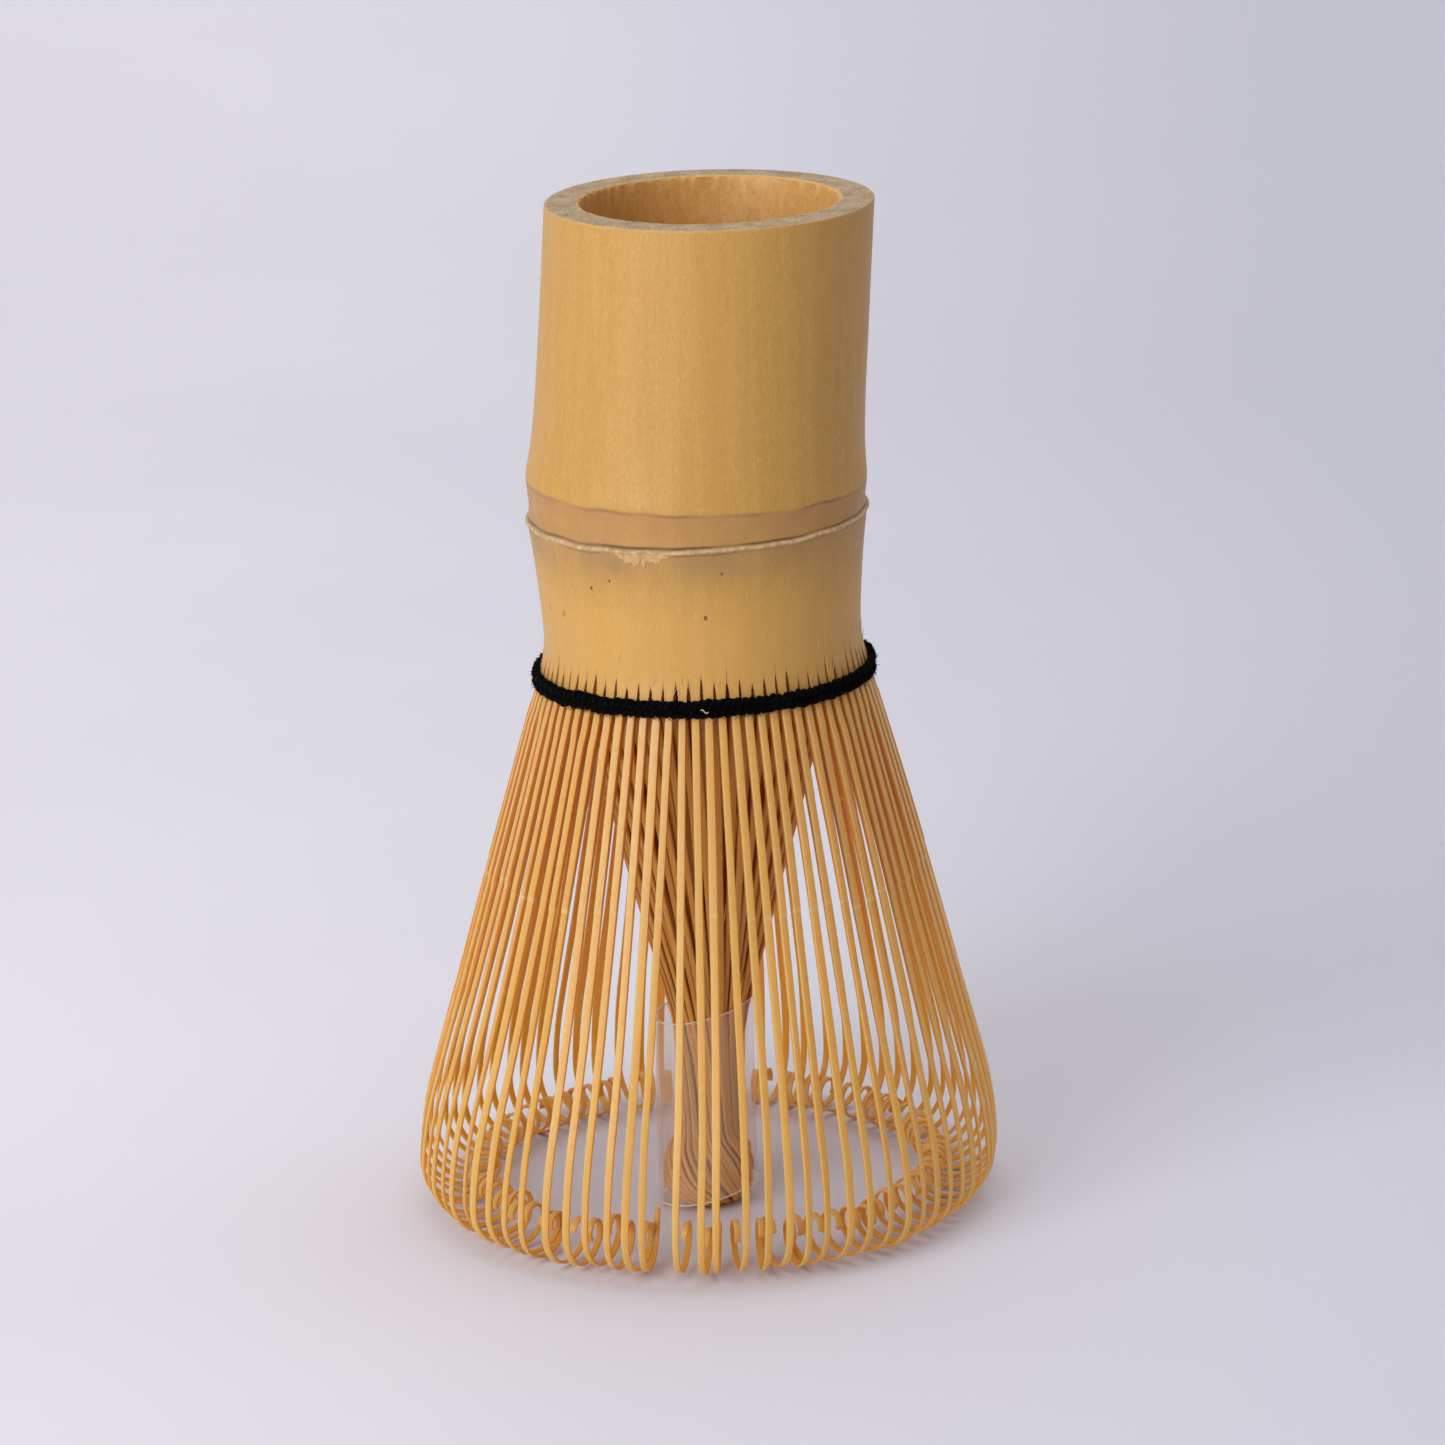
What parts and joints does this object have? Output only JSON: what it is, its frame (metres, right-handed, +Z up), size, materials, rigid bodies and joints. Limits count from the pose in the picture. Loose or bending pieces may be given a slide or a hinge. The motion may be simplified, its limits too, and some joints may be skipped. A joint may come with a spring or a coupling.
{
  "type": "bamboo tea whisk",
  "caption": "Bamboo tea whisk with a hollow culm handle, a splayed cage of curled outer tines, a gathered bundle of inner tines, a thread binding and a film sleeve on the tips.",
  "frame": {"origin": "on the table, under the axis of the cage of outer tines", "axes": "+Z up along the handle, -Y towards the front"},
  "size_m": [0.064, 0.064, 0.11],
  "materials": {
    "bamboo_handle": "satin natural bamboo skin, pale gold, with fine lengthwise fibres and brown mottling at the node",
    "bamboo_outer_tines": "smooth shaved bamboo, golden orange, paler above the shaving line",
    "bamboo_inner_tines": "fine shaved bamboo, darker orange brown",
    "black_thread": "matt black twisted cotton with a light fuzz",
    "clear_film": "thin clear rolled plastic film, slightly milky"
  },
  "bodies": {
    "sleeve": {"tip_sleeve": "clear_film"},
    "handle": {"handle_culm": "bamboo_handle", "binding_thread": "black_thread", "spreader_thread": "black_thread", "inner_tines_01": "bamboo_inner_tines", "inner_tines_02": "bamboo_inner_tines", "inner_tines_03": "bamboo_inner_tines", "inner_tines_04": "bamboo_inner_tines", "inner_tines_05": "bamboo_inner_tines", "inner_tines_06": "bamboo_inner_tines", "inner_tines_07": "bamboo_inner_tines", "inner_tines_08": "bamboo_inner_tines", "inner_tines_09": "bamboo_inner_tines", "inner_tines_10": "bamboo_inner_tines", "inner_tines_11": "bamboo_inner_tines", "inner_tines_12": "bamboo_inner_tines", "inner_tines_13": "bamboo_inner_tines", "inner_tines_14": "bamboo_inner_tines", "inner_tines_15": "bamboo_inner_tines", "inner_tines_16": "bamboo_inner_tines"},
    "outer_tines_01": {"outer_tines_01": "bamboo_outer_tines"},
    "outer_tines_02": {"outer_tines_02": "bamboo_outer_tines"},
    "outer_tines_03": {"outer_tines_03": "bamboo_outer_tines"},
    "outer_tines_04": {"outer_tines_04": "bamboo_outer_tines"},
    "outer_tines_05": {"outer_tines_05": "bamboo_outer_tines"},
    "outer_tines_06": {"outer_tines_06": "bamboo_outer_tines"},
    "outer_tines_07": {"outer_tines_07": "bamboo_outer_tines"},
    "outer_tines_08": {"outer_tines_08": "bamboo_outer_tines"},
    "outer_tines_09": {"outer_tines_09": "bamboo_outer_tines"},
    "outer_tines_10": {"outer_tines_10": "bamboo_outer_tines"},
    "outer_tines_11": {"outer_tines_11": "bamboo_outer_tines"},
    "outer_tines_12": {"outer_tines_12": "bamboo_outer_tines"},
    "outer_tines_13": {"outer_tines_13": "bamboo_outer_tines"},
    "outer_tines_14": {"outer_tines_14": "bamboo_outer_tines"},
    "outer_tines_15": {"outer_tines_15": "bamboo_outer_tines"},
    "outer_tines_16": {"outer_tines_16": "bamboo_outer_tines"}
  },
  "joints": [
    {"name": "lift_off_sleeve", "type": "slide", "parent": "sleeve", "child": "handle", "axis": [0, 0.1628, 0.9867], "range_m": [0, 0.022]},
    {"name": "flex_outer_tines_01", "type": "hinge", "parent": "handle", "child": "outer_tines_01", "pos_m": [0.00143, -0.01699, 0.05956], "axis": [-0.9997, -0.0244, 0], "range_deg": [-1.5, 6], "stiffness_Nm_per_rad": 0.035},
    {"name": "flex_outer_tines_02", "type": "hinge", "parent": "handle", "child": "outer_tines_02", "pos_m": [0.0079, -0.01554, 0.05966], "axis": [-0.9143, -0.4051, 0], "range_deg": [-1.5, 6], "stiffness_Nm_per_rad": 0.035},
    {"name": "flex_outer_tines_03", "type": "hinge", "parent": "handle", "child": "outer_tines_03", "pos_m": [0.01332, -0.01172, 0.05975], "axis": [-0.6896, -0.7242, 0], "range_deg": [-1.5, 6], "stiffness_Nm_per_rad": 0.035},
    {"name": "flex_outer_tines_04", "type": "hinge", "parent": "handle", "child": "outer_tines_04", "pos_m": [0.01687, -0.00612, 0.0598], "axis": [-0.36, -0.933, 0], "range_deg": [-1.5, 6], "stiffness_Nm_per_rad": 0.035},
    {"name": "flex_outer_tines_05", "type": "hinge", "parent": "handle", "child": "outer_tines_05", "pos_m": [0.01801, 0.00042, 0.05982], "axis": [0.0244, -0.9997, 0], "range_deg": [-1.5, 6], "stiffness_Nm_per_rad": 0.035},
    {"name": "flex_outer_tines_06", "type": "hinge", "parent": "handle", "child": "outer_tines_06", "pos_m": [0.01655, 0.00689, 0.0598], "axis": [0.4051, -0.9143, 0], "range_deg": [-1.5, 6], "stiffness_Nm_per_rad": 0.035},
    {"name": "flex_outer_tines_07", "type": "hinge", "parent": "handle", "child": "outer_tines_07", "pos_m": [0.01273, 0.01231, 0.05974], "axis": [0.7242, -0.6896, 0], "range_deg": [-1.5, 6], "stiffness_Nm_per_rad": 0.035},
    {"name": "flex_outer_tines_08", "type": "hinge", "parent": "handle", "child": "outer_tines_08", "pos_m": [0.00713, 0.01586, 0.05965], "axis": [0.933, -0.36, 0], "range_deg": [-1.5, 6], "stiffness_Nm_per_rad": 0.035},
    {"name": "flex_outer_tines_09", "type": "hinge", "parent": "handle", "child": "outer_tines_09", "pos_m": [0.0006, 0.01699, 0.05954], "axis": [0.9997, 0.0244, 0], "range_deg": [-1.5, 6], "stiffness_Nm_per_rad": 0.035},
    {"name": "flex_outer_tines_10", "type": "hinge", "parent": "handle", "child": "outer_tines_10", "pos_m": [-0.00588, 0.01554, 0.05944], "axis": [0.9143, 0.4051, 0], "range_deg": [-1.5, 6], "stiffness_Nm_per_rad": 0.035},
    {"name": "flex_outer_tines_11", "type": "hinge", "parent": "handle", "child": "outer_tines_11", "pos_m": [-0.0113, 0.01172, 0.05935], "axis": [0.6896, 0.7242, 0], "range_deg": [-1.5, 6], "stiffness_Nm_per_rad": 0.035},
    {"name": "flex_outer_tines_12", "type": "hinge", "parent": "handle", "child": "outer_tines_12", "pos_m": [-0.01485, 0.00612, 0.0593], "axis": [0.36, 0.933, 0], "range_deg": [-1.5, 6], "stiffness_Nm_per_rad": 0.035},
    {"name": "flex_outer_tines_13", "type": "hinge", "parent": "handle", "child": "outer_tines_13", "pos_m": [-0.01598, -0.00042, 0.05928], "axis": [-0.0244, 0.9997, 0], "range_deg": [-1.5, 6], "stiffness_Nm_per_rad": 0.035},
    {"name": "flex_outer_tines_14", "type": "hinge", "parent": "handle", "child": "outer_tines_14", "pos_m": [-0.01453, -0.00689, 0.0593], "axis": [-0.4051, 0.9143, 0], "range_deg": [-1.5, 6], "stiffness_Nm_per_rad": 0.035},
    {"name": "flex_outer_tines_15", "type": "hinge", "parent": "handle", "child": "outer_tines_15", "pos_m": [-0.01071, -0.01231, 0.05936], "axis": [-0.7242, 0.6896, 0], "range_deg": [-1.5, 6], "stiffness_Nm_per_rad": 0.035},
    {"name": "flex_outer_tines_16", "type": "hinge", "parent": "handle", "child": "outer_tines_16", "pos_m": [-0.00511, -0.01586, 0.05945], "axis": [-0.933, 0.36, 0], "range_deg": [-1.5, 6], "stiffness_Nm_per_rad": 0.035}
  ]
}
